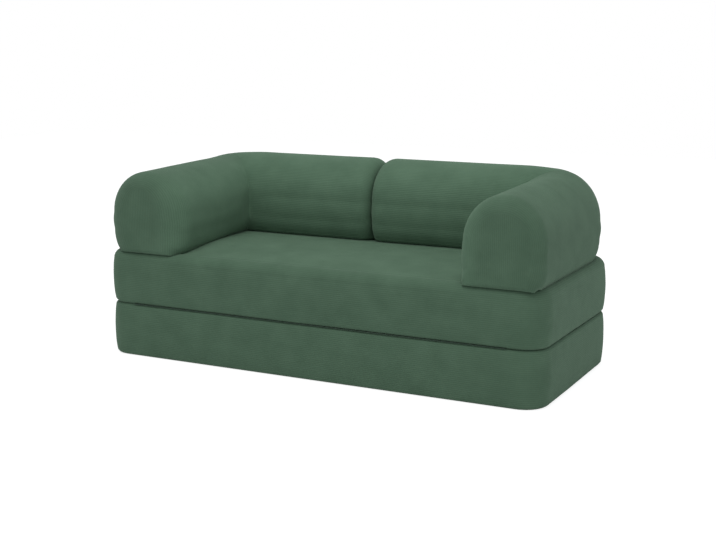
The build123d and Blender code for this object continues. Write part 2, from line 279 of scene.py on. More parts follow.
def sew_wales(form, name, dressing):
    """Cuts every panel along its wales, rounds the cuts, raises each wale and dresses the cover."""
    step = wale_pitch / len(wale_section)
    points = np.array(form.points)
    normals = corner_normals(points, form.faces)
    place, lean, calm, painted_lights = list(points), list(normals), list(form.calm), list(form.painted_lights)
    height = [0.0] * len(points)
    counts = {}
    for panel, values in form.wales.items():
        counts[panel] = {index: snapped(value / step) for index, value in values.items()}
        for index, value in counts[panel].items():
            height[index] = wale_top(value) * (1 - calm[index])
    users = {}
    for face, panel in zip(form.faces, form.panels):
        for a, b in zip(face, face[1:] + face[:1]):
            users.setdefault((min(a, b), max(a, b)), set()).add(panel)
    cuts = {}
    for (a, b), panels in users.items():
        shares = []
        for panel in sorted(panels):
            start, end = counts[panel][a], counts[panel][b]
            low, high = sorted((start, end))
            for count in range(int(np.ceil(low + hair)), int(np.floor(high - hair)) + 1):
                shares.append(((count - start) / (end - start), panel, count))
        shares.sort()
        length = np.linalg.norm(points[b] - points[a])
        row = []
        for share, panel, count in shares:
            if row and (share - row[-1][0]) * length < least_cut and panel not in row[-1][2]:
                row[-1][2][panel] = count
                continue
            flat = points[a] * (1 - share) + points[b] * share
            from_a = flat - normals[a] * np.dot(flat - points[a], normals[a])
            from_b = flat - normals[b] * np.dot(flat - points[b], normals[b])
            round_point = from_a * (1 - share) + from_b * share
            place.append(flat * (1 - cut_roundness) + round_point * cut_roundness)
            tilt = normals[a] * (1 - share) + normals[b] * share
            lean.append(tilt / max(np.linalg.norm(tilt), hair))
            calm.append(form.calm[a] * (1 - share) + form.calm[b] * share)
            painted_lights.append(form.painted_lights[a] * (1 - share) + form.painted_lights[b] * share)
            height.append(wale_top(count) * (1 - calm[-1]))
            row.append((share, len(place) - 1, {panel: count}))
        cuts[(a, b)] = row
    faces = []
    for face, panel in zip(form.faces, form.panels):
        walk = []
        values = counts[panel]
        for a, b in zip(face, face[1:] + face[:1]):
            start, end = values[a], values[b]
            walk.append((start, a))
            row = cuts[(min(a, b), max(a, b))]
            for share, index, marks in row if a < b else reversed(row):
                along = share if a < b else 1 - share
                walk.append((marks.get(panel, start + (end - start) * along), index))
        low = int(np.floor(min(value for value, _ in walk) + hair))
        high = int(np.ceil(max(value for value, _ in walk) - hair))
        for count in range(low, max(high, low + 1)):
            strip = [index for value, index in walk if count - hair <= value <= count + 1 + hair]
            if len(strip) > 2:
                faces.append(strip)
    place, lean = np.array(place), np.array(lean)
    height, calm = np.array(height), np.array(calm)
    place, height, calm = dressing(place, lean, height, calm)
    place = place + lean * (height * wale_height)[:, None]
    shade = height + wale_mean * calm
    mesh = bpy.data.meshes.new(name)
    mesh.from_pydata(place.tolist(), [], faces)
    # Each point keeps its pile height and its share of painted light and shade, which the corduroy reads.
    for label, values in (("wale", shade), ("painted_light", np.array(painted_lights))):
        mesh.attributes.new(label, "FLOAT", "POINT").data.foreach_set("value", values.astype(np.float32))
    mesh.validate()
    mesh.polygons.foreach_set("use_smooth", [True] * len(mesh.polygons))
    mesh.update()
    mesh.materials.append(green_corduroy)
    return new_object(name, mesh)


def outline_points(inset):
    """Plan outline of a level: straight sides with fixed stations and rounded corners."""
    reach_x, reach_y = sofa_width / 2 - inset, sofa_depth / 2 - inset
    right_stations = [0.07, 0.2, 0.34, 0.48, 0.62, 0.7, 0.745, mattress_zip_half, 0.757, 0.8]
    long_stations = right_stations[::-1] + [-place for place in right_stations]
    end_stations = (-0.24, -0.16, -0.08, 0.0, 0.08, 0.16, 0.24)
    ring = []
    for quarter in range(4):
        turn = quarter * pi / 2
        radius = max(plan_radii[quarter] - inset, least_radius)
        centre_x = (reach_x - radius) * (1 if quarter in (0, 3) else -1)
        centre_y = (reach_y - radius) * (1 if quarter in (0, 1) else -1)
        for count in range(corner_turns + 1):
            angle = turn + count / corner_turns * pi / 2
            ring.append((centre_x + radius * cos(angle), centre_y + radius * sin(angle)))
        if quarter in (0, 2):
            side = 1 if quarter == 0 else -1
            ring += [(side * place, side * reach_y) for place in long_stations]
        else:
            side = 1 if quarter == 3 else -1
            ring += [(side * reach_x, side * place) for place in end_stations]
    return ring


def edge_levels(radius):
    """(rise, inset) from the panel's seam out over a rounded edge to the foot of the side."""
    levels = [(0.0, side_barrel + radius + seam_lap), (0.0, side_barrel + radius + seam_lap * 0.4)]
    for turn in np.linspace(0, 90, edge_turns):
        rise = radius * (1 - cos(radians(turn)))
        levels.append((rise, side_barrel + radius * (1 - sin(radians(turn)))))
    return levels


def border_levels(bottom, top, low_radius, high_radius):
    """(height, inset, run along the section) from the bottom seam to the top seam."""
    levels = [(bottom + rise, inset) for rise, inset in edge_levels(low_radius)]
    side_low, side_high = bottom + low_radius, top - high_radius
    for share in np.linspace(0, 1, band_levels)[1:-1]:
        barrel = side_barrel * (1 - sin(pi * share) ** fullness)
        levels.append((side_low + (side_high - side_low) * share, barrel))
    for rise, inset in reversed(edge_levels(high_radius)):
        levels.append((top - rise, inset))
    runs = [0.0]
    for (height, inset), (next_height, next_inset) in zip(levels, levels[1:]):
        runs.append(runs[-1] + hypot(next_height - height, next_inset - inset))
    step = wale_pitch / len(wale_section)
    fitted = round(runs[-1] / step) * step / runs[-1]
    runs = [run * fitted for run in runs]
    return [(height, inset, run) for (height, inset), run in zip(levels, runs)]


def crown_rise(inset, rim, crown):
    """How far the crowned top stands over its rim, this far in from the widest outline."""
    share = min(max((inset - rim) / crown_run, 0.0), 1.0)
    share -= crown_ease * (1 - exp(-share / crown_ease))
    return crown * (1 - (1 - share) ** 2)


def mattress_form(bottom, top, low_radius, high_radius, crown):
    """The cover of one mattress in coarse quads, from its lowest to its highest panel."""
    form = Form()
    levels = border_levels(bottom, top, low_radius, high_radius)
    rings = []
    for count, (height, inset, run) in enumerate(levels):
        upper_half = height > (bottom + top) / 2
        rim = side_barrel + (high_radius if upper_half else low_radius)
        lift = crown_rise(inset, rim, crown) if upper_half else 0.0
        seam = seam_calm if count in (0, len(levels) - 1) else 0.0
        ring = [form.add((x, y, height + lift), seam, band_painted_shade) for x, y in outline_points(inset)]
        for index in ring:
            form.wale("band", index, run)
        rings.append(ring)
    size = len(rings[0])
    for lower, upper in zip(rings, rings[1:]):
        for here in range(size):
            ahead = (here + 1) % size
            form.face((lower[here], lower[ahead], upper[ahead], upper[here]), "band")
    lay_panel(form, list(reversed(rings[0])), "bottom_panel", side_barrel + low_radius, bottom, 0.0)
    lay_panel(form, rings[-1], "top_panel", side_barrel + high_radius, top, crown)
    return form


def lay_panel(form, edge, panel, rim, height, crown):
    """Fills a level ring with rings that close on a line in the middle; its wales run along X."""
    half_line = (sofa_width - sofa_depth) / 2
    plan = [form.points[index][:2] for index in edge]
    earlier, line = edge, {}
    for index in edge:
        form.wale(panel, index, form.points[index][1])
    for share in panel_shares:
        ring = []
        for x, y in plan:
            end_x = min(max(x, -half_line), half_line)
            x, y = x + (end_x - x) * share, y * (1 - share)
            inset = rim + seam_lap + share * (sofa_depth / 2 - rim - seam_lap)
            key = round(x, 5)
            if share < 1 or key not in line:
                line[key] = form.add((x, y, height + crown_rise(inset, rim, crown)), 0.0, panel_painted_light)
                form.wale(panel, line[key], y)
            ring.append(line[key])
        for here in range(len(edge)):
            ahead = (here + 1) % len(edge)
            form.face((earlier[here], earlier[ahead], ring[ahead], ring[here]), panel)
        earlier = ring


def soften(form, seed, zip_z, swell=0.0016, dimple=0.0005):
    """Slow swells and small dimples, as hand-filled covers have. Seams, zips and faces that lie
    on something stay put, and the fronts keep level: they meet when the bed is open."""
    opened_front = -sofa_depth / 2 + wale_height
    points = np.array(form.points)
    normals = corner_normals(points, form.faces)
    shift = Vector((seed * 3.1, seed * 1.7, seed * 0.9))
    for index, (point, normal) in enumerate(zip(points, normals)):
        lies_low = point[2] < seat_bottom + mating_edge_radius / 2
        lies_flat = normal[2] < -level_lean or normal[2] > level_lean and lies_low
        beside_zip = normal[1] > rear_lean and abs(point[2] - zip_z) < zip_surround
        if form.calm[index] > seam_calm / 2 or lies_flat or beside_zip:
            continue
        at = Vector(point) + shift
        amount = swell * noise.noise(at * swell_waves) + dimple * noise.noise(at * dimple_waves)
        x, y, z = point + normal * amount
        form.points[index] = (x, max(y, opened_front), z)


def zip_opening(zip_z, half, centre_x, face_y):
    """Returns the dressing that folds a cover's rear in on both sides of its zip."""
    def dress(place, lean, height, calm):
        across = np.abs(place[:, 2] - zip_z)
        along = np.abs(place[:, 0] - centre_x)
        rear = (place[:, 1] > face_y - zip_reach) & (lean[:, 1] > rear_facing)
        lips = np.clip((zip_lip_half + zip_lip_run - across) / zip_lip_run, 0, 1)
        ends = np.clip((half + zip_end_run - along) / zip_end_run, 0, 1)
        fold = np.where(rear, lips * ends, 0.0)
        seam = np.where(rear, np.exp(-((across - zip_seam_offset) / zip_seam_spread) ** 2) * ends, 0.0)
        flat = np.clip(fold + seam_flattening * seam, 0, 1)
        place = place.copy()
        place[:, 1] -= fold * zip_recess + seam * zip_seam_sink
        return place, height * (1 - flat), calm * (1 - flat) + flat
    return dress


def object_place(tree):
    return node(tree, "ShaderNodeTexCoord").outputs["Object"]


def spots(tree, scale, detail, rough):
    """Cloudy noise in the object's own space."""
    inputs = {"Vector": object_place(tree), "Scale": scale, "Detail": detail, "Roughness": rough}
    return node(tree, "ShaderNodeTexNoise", inputs).outputs["Fac"]


def mapped(tree, value, start, end, low=0.0, high=1.0):
    """Maps a value between low and high to one between start and end."""
    inputs = {"Value": value, "From Min": low, "From Max": high, "To Min": start, "To Max": end}
    return node(tree, "ShaderNodeMapRange", inputs).outputs[0]


def tinted(tree, share, low_colour, high_colour, places=(0.0, 1.0)):
    """Blends two colours by a share, from the first of the places to the second."""
    ramp = node(tree, "ShaderNodeValToRGB", {"Fac": share})
    for element, place, colour in zip(ramp.color_ramp.elements, places, (low_colour, high_colour)):
        element.position = place
        element.color = tuple(colour) + (1,)
    return ramp.outputs["Color"]


def raise_surface(tree, shader, height, strength, distance):
    bump = node(tree, "ShaderNodeBump", {"Height": height, "Strength": strength, "Distance": distance})
    tree.links.new(bump.outputs["Normal"], shader.inputs["Normal"])


def sewn_mattress(form, name, seed, zip_z):
    """Gives a mattress's form its swells, sinks its seams and sews its cover, open for the zip."""
    soften(form, seed, zip_z)
    sink_seams(form)
    return sew_wales(form, name, zip_opening(zip_z, mattress_zip_half, 0.0, sofa_depth / 2))


def zip_height(name):
    low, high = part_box(name)
    return (low.z + high.z) / 2


def corduroy():
    """Fine-wale cotton corduroy: pile in rows, the weave between them painted darker, mottled tone of the
    pile, and painted light and shade from each point's share.
    """
    cloth, tree, shader = new_material("corduroy_green", {
        "Roughness": 0.92, "Sheen Weight": 0.14, "Sheen Roughness": 0.45,
        "Sheen Tint": (0.62, 0.80, 0.66, 1), "Specular IOR Level": 0.15,
    })
    patches = spots(tree, 9.0, 3.0, 0.55)
    dye = tinted(tree, patches, (0.070, 0.126, 0.081), (0.086, 0.150, 0.098), (0.30, 0.72))
    wale, painted_light = [node(tree, "ShaderNodeAttribute", attribute_name=name) for name in ("wale", "painted_light")]
    # The base weave between the wales is painted darker than their crests: partly its own flatter weave,
    # partly painted shade in the grooves.
    weave_and_groove_shade = mapped(tree, wale.outputs["Fac"], 0.89, 1.05, 0.0, 0.9)
    fibres = mapped(tree, spots(tree, 620.0, 2.0, 0.6), 0.86, 1.14)
    # Painted light and shade: the colour is multiplied by each point's painted share.
    tone = product(tree, product(tree, weave_and_groove_shade, fibres), painted_light.outputs["Fac"])
    colour = node(tree, "ShaderNodeMix", {0: 1.0, 6: dye, 7: tone}, data_type="RGBA", blend_type="MULTIPLY")
    tree.links.new(colour.outputs[2], shader.inputs["Base Color"])
    raise_surface(tree, shader, spots(tree, 900.0, 3.0, 0.65), 0.35, 0.0006)
    return cloth


green_corduroy = corduroy()
base_top = base_bottom + mattress_height
base_zip_z = zip_height("base_zip")
base_form = mattress_form(
    base_bottom + wale_height, base_top - wale_height, floor_edge_radius, mating_edge_radius, 0.0)
base_cover = sewn_mattress(base_form, "base_mattress", 1, base_zip_z)
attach(base_cover, "base")
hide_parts("base_cover", "base_wadding")

# Seat mattress: the same make, with a crowned soft layer on top.
sitting_edge_radius = 0.042
seat_top = seat_bottom + mattress_height
seat_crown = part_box("seat_cover")[1].z - seat_top
seat_zip_z = zip_height("seat_zip")
seat_form = mattress_form(
    seat_bottom + wale_height, seat_top, mating_edge_radius, sitting_edge_radius, seat_crown)
seat_cover = sewn_mattress(seat_form, "seat_mattress", 2, seat_zip_z)
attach(seat_cover, "seat")
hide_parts("seat_cover", "seat_wadding")

# Corner cushions: an L-shaped block cushion on each side, one arm and half of the back. Foam in
# a corduroy cover of five panels: arm, arm front, back, back end and the foot under it. The arm
# and back panels are mitred at the corner, so their wales meet at a right angle.
cushion_low, cushion_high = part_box("right_cushion_cover")
cushion_zip_low, cushion_zip_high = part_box("right_cushion_zip")
cushion_zip_x = (cushion_zip_low.x + cushion_zip_high.x) / 2
cushion_zip_z = zip_height("right_cushion_zip")
cushion_zip_half = (cushion_zip_high.x - cushion_zip_low.x) / 2
cushion_thickness = 0.35
outer_x, rear_y, front_y = cushion_low.x, cushion_high.y, cushion_low.y
middle_x = cushion_high.x
foot_settle = 0.010
back_front_y = rear_y - cushion_thickness
foot_height = cushion_low.z
crest_turn_radius = 0.045
outward = cushion_thickness / 2 + crest_turn_radius
inward = outward - cushion_thickness
pivot_x, pivot_y = outer_x + outward, rear_y - outward
arm_shoulder, back_shoulder = 0.62, 0.655
change_run = 0.25
arm_front_crest, arm_rear_crest, back_crest = 0.799, 0.813, 0.835
side_swell = 0.004
foot_clearance = 0.0032
zip_station_room, zip_station_step = 0.015, 0.006
swell_run = 0.12
low_part = arm_shoulder - 0.1
outer_toe = (0.040, 0.100, 0.011)
arm_inner_toes = {"right_cushion": (0.035, 0.100, 0.030), "left_cushion": (0.012, 0.060, 0.030)}
back_inner_toe = (0.105, 0.110, 0.022)
front_steps = 10
straight_stations = 9
far_from_end = 1.0
foot_points, side_points, arch_points, toe_steps = 7, 6, 27, 6
least_arch_share = 0.6
cap_columns = 6
cap_bulge = 0.005
cushion_swell = 0.0014
# Painted light and shade in the cover's colour, lighter on a cushion's inner side: places from its inner to
# its outer side, and the share of colour at each
arm_painted_light = ((0.0, 0.3, 0.6, 1.0), (1.20, 0.98, 0.92, 0.92))
back_painted_light = ((0.0, 0.3, 0.6, 1.0), (1.17, 1.12, 1.13, 0.97))
# Painted shade: the arm fronts and back ends have their colour painted a little darker.
front_painted_shade = 0.95
front_rounds = {
    "right_cushion": {"outer": 0.095, "inner": 0.100, "top": 0.065, "foot": 0.026, "low": 0.085},
    "left_cushion": {"outer": 0.052, "inner": 0.060, "top": 0.065, "foot": 0.020, "low": 0.020},
}
end_rounds = {"outer": 0.06, "inner": 0.06, "top": 0.06, "foot": 0.035, "low": 0.06}
# How the stuffing has settled: places across the sofa, and where each has moved to
settled = {
    "right_cushion": ((-0.994, -0.644, -0.30, 0.0), (-0.988, -0.600, -0.29, 0.0)),
    "left_cushion": ((-0.994, -0.644, -0.30, 0.0), (-0.990, -0.655, -0.30, 0.0)),
}


def round_inset(step, radius):
    if step >= radius:
        return 0.0
    return radius - sqrt(max(radius ** 2 - (radius - step) ** 2, 0.0))


def toe_points(toe):
    """(inset, rise) from where a toe meets the seat up to the foot of the side."""
    reach, rise, sink = toe
    start = acos(1 - sink / rise)
    turns = np.linspace(start, pi / 2, toe_steps)[:-1]
    return [(reach * (1 - sin(turn)), rise * (1 - cos(turn))) for turn in turns]


def cushion_section(crest, inner_shoulder, rounds, step, swell, inner_toe):
    """Ring of (outward offset, height) of the D section; rounds draw it in near an end."""
    far = outward - round_inset(step, rounds["outer"])
    near = inward + round_inset(step, rounds["inner"])
    top = crest - round_inset(step, rounds["top"])
    low = foot_height - foot_settle + round_inset(step, rounds["foot"])
    middle, half = (far + near) / 2, (far - near) / 2
    outer_shoulder, inner_shoulder = (
        min(shoulder, top - least_arch_share * half) for shoulder in (arm_shoulder, inner_shoulder))
    outer_side, inner_side = toe_points(outer_toe), toe_points(inner_toe)
    low_near = inward + round_inset(step, rounds["low"])
    inner_side = [(inset + (low_near - near) * (1 - rise / inner_toe[1]), rise) for inset, rise in inner_side]
    foot_far, foot_near = far - outer_side[0][0], near + inner_side[0][0]
    foot_shares, side_shares = np.linspace(0, 1, foot_points), np.linspace(0, 1, side_points)
    ring = [(foot_near + (foot_far - foot_near) * share, low) for share in foot_shares]
    ring += [(far - inset, low + rise) for inset, rise in outer_side[1:]]
    side_low = low + outer_toe[1]
    for share in side_shares:
        ring.append((far + side_swell * sin(pi * share), side_low + (outer_shoulder - side_low) * share))
    for turn in np.linspace(0, 180, arch_points)[1:-1]:
        shoulder = outer_shoulder if turn < 90 else inner_shoulder
        ring.append((middle + half * cos(radians(turn)), shoulder + (top - shoulder) * sin(radians(turn))))
    side_low = low + inner_toe[1]
    for share in reversed(side_shares):
        ring.append((near - swell * sin(pi * share), side_low + (inner_shoulder - side_low) * share))
    ring += [(near + inset, low + rise) for inset, rise in reversed(inner_side[1:])]
    return ring


def seat_surface(x, y):
    """Height of the crowned seat at a place in plan, down over its rounded edge."""
    rim = side_barrel + sitting_edge_radius
    inset = min(sofa_width / 2 - abs(x), sofa_depth / 2 - abs(y))
    over = min(max(rim - inset, 0.0), sitting_edge_radius)
    fall = sitting_edge_radius - sqrt(sitting_edge_radius ** 2 - over ** 2)
    return seat_top + crown_rise(inset, rim, seat_crown) - fall


def cushion_stations(rounds):
    """(kind, place along it, crest, rounds, step) from the arm's front to the end of the back."""
    stations = []
    widest = max(rounds.values())
    steps = [widest * (1 - cos(radians(turn))) for turn in np.linspace(0, 90, front_steps + 1)]
    arm_length = back_front_y - front_y
    for along in steps + list(np.linspace(steps[-1], arm_length, straight_stations)[1:]):
        crest = arm_front_crest + (arm_rear_crest - arm_front_crest) * along / arm_length
        stations.append(("arm", front_y + along, crest, rounds, along))
    turn_shares = (0.12, 0.25, 0.38, 0.5, 0.62, 0.74, 0.85, 0.94, 1.0)
    for share in turn_shares:
        risen = (share / 2) ** 2 * (3 - share)
        crest = arm_rear_crest + (back_crest - arm_rear_crest) * risen
        stations.append(("turn_in", share, crest, rounds, far_from_end))
    for share in turn_shares[-2::-1] + (0.0,):
        risen = 1 - (share / 2) ** 2 * (3 - share)
        crest = arm_rear_crest + (back_crest - arm_rear_crest) * risen
        stations.append(("turn_out", share, crest, end_rounds, far_from_end))
    back_start = pivot_x - inward
    end_turns = np.linspace(90, 0, front_steps + 1)
    ends = [middle_x - end_rounds["outer"] * (1 - cos(radians(turn))) for turn in end_turns]
    places = set(np.linspace(back_start, ends[0], straight_stations)[1:-1].round(3))
    for zip_end in (cushion_zip_x - cushion_zip_half, cushion_zip_x + cushion_zip_half):
        places = {place for place in places if abs(place - zip_end) > zip_station_room}
        places |= {zip_end - zip_station_step, zip_end, zip_end + zip_station_step}
    for place in sorted(places):
        stations.append(("back", place, back_crest, end_rounds, far_from_end))
    for end in ends:
        stations.append(("back", end, back_crest, end_rounds, middle_x - end))
    return stations


def station_place(kind, place, offset):
    """Plan place of a section point that lies this far outward from the turning axis."""
    if kind == "arm":
        return pivot_x - offset, place
    if kind == "back":
        return place, pivot_y + offset
    straight = min(offset, 0.0) - inward
    reach = (straight + max(offset, 0.0) * pi / 4) * place
    if reach <= straight or offset <= 0:
        x, y = pivot_x - offset, back_front_y + reach
    else:
        turn = (reach - straight) / offset
        x, y = pivot_x - offset * cos(turn), pivot_y + offset * sin(turn)
    if kind == "turn_in":
        return x, y
    return pivot_x - (y - pivot_y), pivot_y - (x - pivot_x)


def settle_back(y):
    """The front of the back has settled a little to the rear."""
    before = (front_y, back_front_y - 0.12, back_front_y, rear_y)
    after = (front_y, back_front_y - 0.115, back_front_y + 0.012, rear_y)
    return np.interp(y, before, after)


def cap_panel(form, ring, panel, bulge, wale_axis, turned):
    """Closes an end ring with level rows from its inner side to its outer side, softly domed."""
    columns = cap_columns
    apex = columns + (len(ring) - columns) // 2
    outer_chain = list(range(columns, apex + 1))
    inner_chain = [0] + list(range(len(ring) - 1, apex - 1, -1))
    rows = [[ring[count] for count in range(columns + 1)]]
    for level in range(1, len(outer_chain)):
        start, end = ring[inner_chain[level]], ring[outer_chain[level]]
        row = [start]
        if start != end:
            rise = sin(pi * level / (len(outer_chain) - 1)) ** fullness
            for count in range(1, columns):
                share = count / columns
                point = Vector(form.points[start]).lerp(Vector(form.points[end]), share)
                place = point + Vector(bulge) * rise * sin(pi * share) ** fullness
                row.append(form.add(place, 0.0, front_painted_shade))
            row.append(end)
        else:
            row = [start] * (columns + 1)
        rows.append(row)
    for row in rows:
        for index in row:
            form.wale(panel, index, form.points[index][wale_axis] - form.points[ring[0]][wale_axis])
    for lower, upper in zip(rows, rows[1:]):
        for count in range(columns):
            corners = (lower[count], lower[count + 1], upper[count + 1], upper[count])
            form.face(tuple(reversed(corners)) if turned else corners, panel)


def cushion_form(name, side):
    """The L-shaped cover in coarse quads: side is -1 for the sitter's right and 1 for the left."""
    form = Form()
    stations = cushion_stations(front_rounds[name])
    mitre = [station[0] for station in stations].index("turn_out") - 1
    rings, seen = [], {}
    for count, (kind, place, crest, rounds, step) in enumerate(stations):
        seam = seam_calm if count in (0, mitre, len(stations) - 1) else 0.0
        ring = []
        far_from_crease = abs(place - back_front_y) if kind == "arm" else abs(place - pivot_x + inward)
        swell = 0.0 if kind.startswith("turn") else side_swell * min(far_from_crease / swell_run, 1.0)
        changed = min(max(1 - (back_front_y - place) / change_run, 0), 1) if kind == "arm" else 1
        inner_toe = [a + (b - a) * changed for a, b in zip(arm_inner_toes[name], back_inner_toe)]
        shoulder = arm_shoulder + (back_shoulder - arm_shoulder) * changed
        for offset, z in cushion_section(crest, shoulder, rounds, step, swell, inner_toe):
            x, y = station_place(kind, place, offset)
            if z < low_part:
                z = max(z, seat_surface(x, y) + foot_clearance)
            key = (round(x, 5), round(y, 5), round(z, 5))
            if key not in seen:
                across = (offset - inward) / cushion_thickness
                # Painted light and shade: each point gets a share of colour by how far across the cushion it
                # lies.
                painted_light = np.interp(across, *(arm_painted_light if kind in ("arm", "turn_in") else back_painted_light))
                seen[key] = form.add((x, y, z), seam, float(painted_light))
            form.calm[seen[key]] = max(form.calm[seen[key]], seam)
            ring.append(seen[key])
        rings.append(ring)
    size = len(rings[0])
    # Wales run over the arm and along the back, and each panel counts them along its own length
    crest_point = size // 2 + 3
    front_run = 0.0
    for count, ring in enumerate(rings[:mitre + 1]):
        if 0 < count <= front_steps:
            here, before = ring[crest_point], rings[count - 1][crest_point]
            front_run += (Vector(form.points[here]) - Vector(form.points[before])).length
        for index in ring:
            along = front_run
            if count > front_steps:
                along += form.points[index][1] - form.points[rings[front_steps][crest_point]][1]
            form.wale("arm", index, along)
    middle_ring = [Vector(form.points[index]) for index in rings[-front_steps - 4]]
    run = 0.0
    for here in range(size + 1):
        if here:
            run += (middle_ring[here % size] - middle_ring[here - 1]).length
        for ring in rings[mitre:]:
            if here < size:
                form.wale("back", ring[here], run)
    for count, (ring, further) in enumerate(zip(rings, rings[1:])):
        panel = "arm" if count < mitre else "back"
        for here in range(size):
            ahead = (here + 1) % size
            panel_name = "foot" if panel == "back" and ahead == 0 else panel
            if panel_name == "foot":
                for index in (ring[here], further[here], ring[0], further[0]):
                    form.wale(panel_name, index, form.points[index][2])
            form.face((ring[here], ring[ahead], further[ahead], further[here]), panel_name)
    cap_panel(form, rings[0], "arm_front", (0, -cap_bulge, 0), 0, True)
    cap_panel(form, rings[-1], "back_end", (0, 0, 0), 2, False)
    before, after = settled[name]
    form.points = [(side * -np.interp(x, before, after), settle_back(y), z) for x, y, z in form.points]
    form.faces = faced_out(form.points, form.faces)
    soften(form, 5 + side, cushion_zip_z, cushion_swell)
    return form


def faced_out(points, faces):
    """Turns a closed form's faces outwards: one that is inside out has a volume below nothing."""
    volume = 0.0
    for face in faces:
        first = Vector(points[face[0]])
        for second, third in zip(face[1:], face[2:]):
            volume += first.dot(Vector(points[second]).cross(Vector(points[third])))
    return [tuple(reversed(face)) for face in faces] if volume < 0 else faces


for side, name in ((-1, "right_cushion"), (1, "left_cushion")):
    opening = zip_opening(cushion_zip_z, cushion_zip_half, -side * cushion_zip_x, rear_y)
    cushion = sew_wales(cushion_form(name, side), name + "_block", opening)
    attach(cushion, name)
    foams = [name.replace("cushion", foam) for foam in ("arm_foam", "back_foam")]
    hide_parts(name + "_cover", name + "_wadding", *foams)

# Zips: nylon coil zips that close each cover low on its rear. A woven tape is sewn in behind two
# folded lips of corduroy, the coil's turns interlock along it, and a stop holds each end.
tape_half_width = 0.011
tape_depths = (0.0030, 0.0018)
tooth_pitch = 0.002
tooth_length = 0.0032
tooth_thickness = 0.0014
tooth_offset = 0.0010
tooth_depth = 0.0012
stop_length = 0.006
stop_half_width = 0.0034
stop_depth = tooth_depth * 1.2
stop_sink = 0.0002
stitch_pitch = 0.0042
stitch_length = 0.0029
thread_thickness = 0.0006
thread_sink = 0.0005
wave_scale = 20


def rows_of_parts():
    """A node tree that sets one small part on every point of a mesh, each a little different."""
    tree = bpy.data.node_groups.new("rows_of_parts", "GeometryNodeTree")
    sockets = (
        ("Places", "NodeSocketGeometry"), ("Part", "NodeSocketObject"), ("Finish", "NodeSocketMaterial"),
        ("Smallest size", "NodeSocketFloat"), ("Largest size", "NodeSocketFloat"),
        ("Least turn", "NodeSocketVector"), ("Most turn", "NodeSocketVector"), ("Seed", "NodeSocketInt"),
    )
    for label, kind in sockets:
        tree.interface.new_socket(name=label, in_out="INPUT", socket_type=kind)
    tree.interface.new_socket(name="Parts", in_out="OUTPUT", socket_type="NodeSocketGeometry")
    given = node(tree, "NodeGroupInput").outputs
    part = node(tree, "GeometryNodeObjectInfo", {"Object": given["Part"]})
    size_inputs = {2: given["Smallest size"], 3: given["Largest size"], "Seed": given["Seed"]}
    size = node(tree, "FunctionNodeRandomValue", size_inputs, data_type="FLOAT")
    turn_inputs = {0: given["Least turn"], 1: given["Most turn"], "Seed": given["Seed"]}
    turn = node(tree, "FunctionNodeRandomValue", turn_inputs, data_type="FLOAT_VECTOR")
    set_out = node(tree, "GeometryNodeInstanceOnPoints", {
        "Points": given["Places"], "Instance": part.outputs["Geometry"],
        "Rotation": turn.outputs[0], "Scale": size.outputs[1],
    })
    real = node(tree, "GeometryNodeRealizeInstances", {0: set_out.outputs[0]})
    finish = node(tree, "GeometryNodeSetMaterial", {"Geometry": real.outputs[0], "Material": given["Finish"]})
    node(tree, "NodeGroupOutput", {0: finish.outputs[0]})
    return tree


part_rows = rows_of_parts()


def set_parts(name, places, part, finish, seed, size=(1.0, 1.0), turn=(0.0, 0.0, 0.0)):
    """Sets the part on every place and returns one plain mesh object."""
    mesh = bpy.data.meshes.new(name + "_places")
    mesh.from_pydata([tuple(place) for place in places], [], [])
    holder = new_object(name + "_places", mesh)
    rows = holder.modifiers.new("rows", "NODES")
    rows.node_group = part_rows
    values = {
        "Part": part, "Finish": finish, "Smallest size": size[0], "Largest size": size[1],
        "Least turn": [-value for value in turn], "Most turn": list(turn), "Seed": seed,
    }
    for socket in part_rows.interface.items_tree:
        if socket.in_out == "INPUT" and socket.name in values:
            rows[socket.identifier] = values[socket.name]
    graph = bpy.context.evaluated_depsgraph_get()
    baked = bpy.data.meshes.new_from_object(holder.evaluated_get(graph), depsgraph=graph)
    bpy.data.objects.remove(holder)
    bpy.data.meshes.remove(mesh)
    return new_object(name, baked)


def closed_tube(name, rings, finish=None):
    """A closed mesh through rings of as many points each, with a face over each end."""
    size = len(rings[0])
    points = [tuple(point) for ring in rings for point in ring]
    faces = [tuple(reversed(range(size))), tuple(range(len(points) - size, len(points)))]
    for start in range(0, len(points) - size, size):
        for here in range(size):
            ahead = (here + 1) % size
            faces.append((start + here, start + ahead, start + size + ahead, start + size + here))
    mesh = bpy.data.meshes.new(name)
    mesh.from_pydata(points, [], faced_out(points, faces))
    if finish:
        mesh.materials.append(finish)
    return new_object(name, mesh)


def wire(name, line, shares, thickness, sides):
    """A closed wire through points in the plane y = 0, with this share of its thickness at each."""
    rings = []
    level = Vector((0, 1, 0))
    for count, ((x, z), share) in enumerate(zip(line, shares)):
        before, after = line[max(count - 1, 0)], line[min(count + 1, len(line) - 1)]
        ahead = Vector((after[0] - before[0], 0, after[1] - before[1])).normalized()
        other = ahead.cross(level)
        ring = []
        for corner in range(sides):
            turn = 2 * pi * corner / sides
            ring.append(Vector((x, 0, z)) + (level * cos(turn) + other * sin(turn)) * thickness / 2 * share)
        rings.append(ring)
    return closed_tube(name, rings)


def joined(name, pieces):
    """Joins mesh objects into the first one, each with its own material."""
    with bpy.context.temp_override(
            active_object=pieces[0], object=pieces[0], selected_objects=pieces,
            selected_editable_objects=pieces):
        bpy.ops.object.join()
    pieces[0].name = name
    pieces[0].data.name = name
    return pieces[0]


